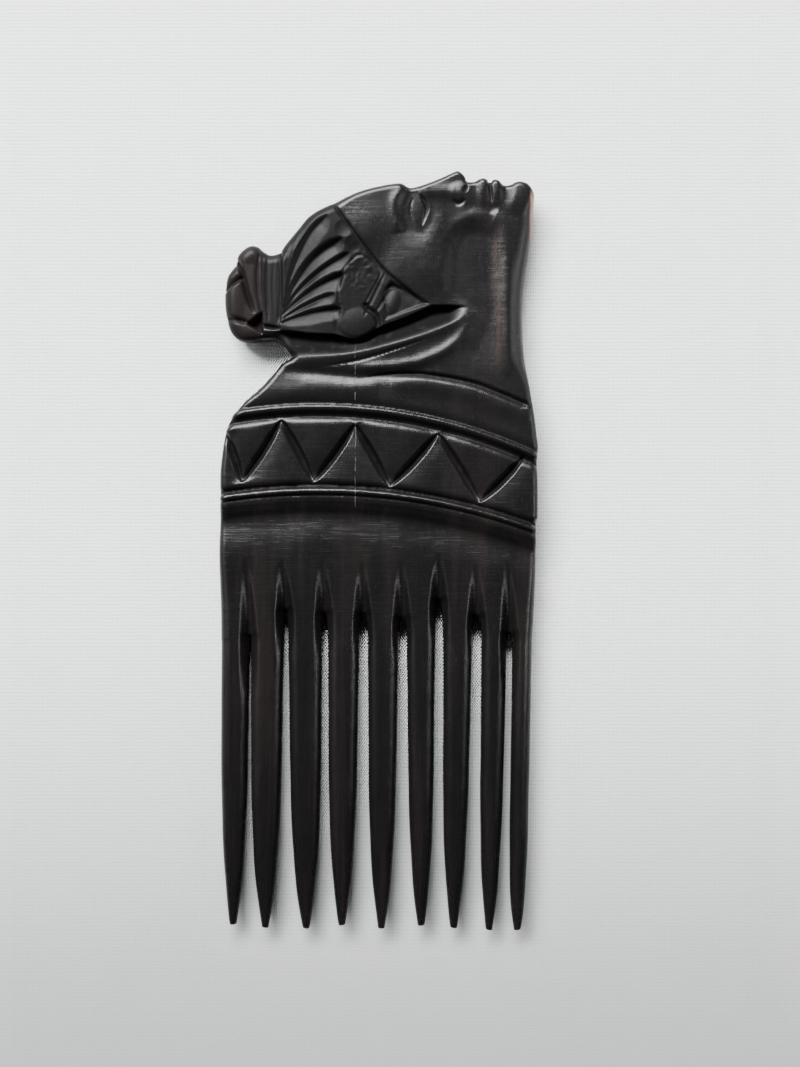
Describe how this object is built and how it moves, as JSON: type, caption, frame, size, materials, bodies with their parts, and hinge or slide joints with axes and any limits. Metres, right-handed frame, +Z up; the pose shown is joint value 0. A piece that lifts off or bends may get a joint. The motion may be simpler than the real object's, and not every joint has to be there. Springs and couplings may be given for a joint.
{
  "type": "decorative hair comb",
  "caption": "Flat hand-carved black wood hair comb with long tapering teeth, a zigzag band between ribs and a bust in profile with a bun at the top.",
  "frame": {"origin": "middle of the footprint, at the height of the flat back", "axes": "+Z up out of the carved face, +Y from the tooth points towards the head, +X to the right seen from the carved face, the side the throat is on"},
  "size_m": [0.0798, 0.19, 0.009],
  "materials": {
    "blackwood": "near-black dense hardwood, hand-scraped and waxed to a soft satin, with fine grain and sanding lines",
    "brown_blackwood": "the same wood where brown sapwood shows in the bun, satin"
  },
  "bodies": {
    "root": {"hair_bun": "brown_blackwood", "bun_tie": "brown_blackwood", "swept_hair": "blackwood", "ear": "blackwood", "face": "blackwood", "throat": "blackwood", "neck_fold": "blackwood", "shoulder": "blackwood", "collar": "blackwood", "upper_rib": "blackwood", "zigzag_band": "blackwood", "lower_rib": "blackwood", "tooth_plate": "blackwood", "tooth_1": "blackwood", "tooth_2": "blackwood", "tooth_3": "blackwood", "tooth_4": "blackwood", "tooth_5": "blackwood", "tooth_6": "blackwood", "tooth_7": "blackwood", "tooth_8": "blackwood", "tooth_9": "blackwood"}
  },
  "joints": []
}
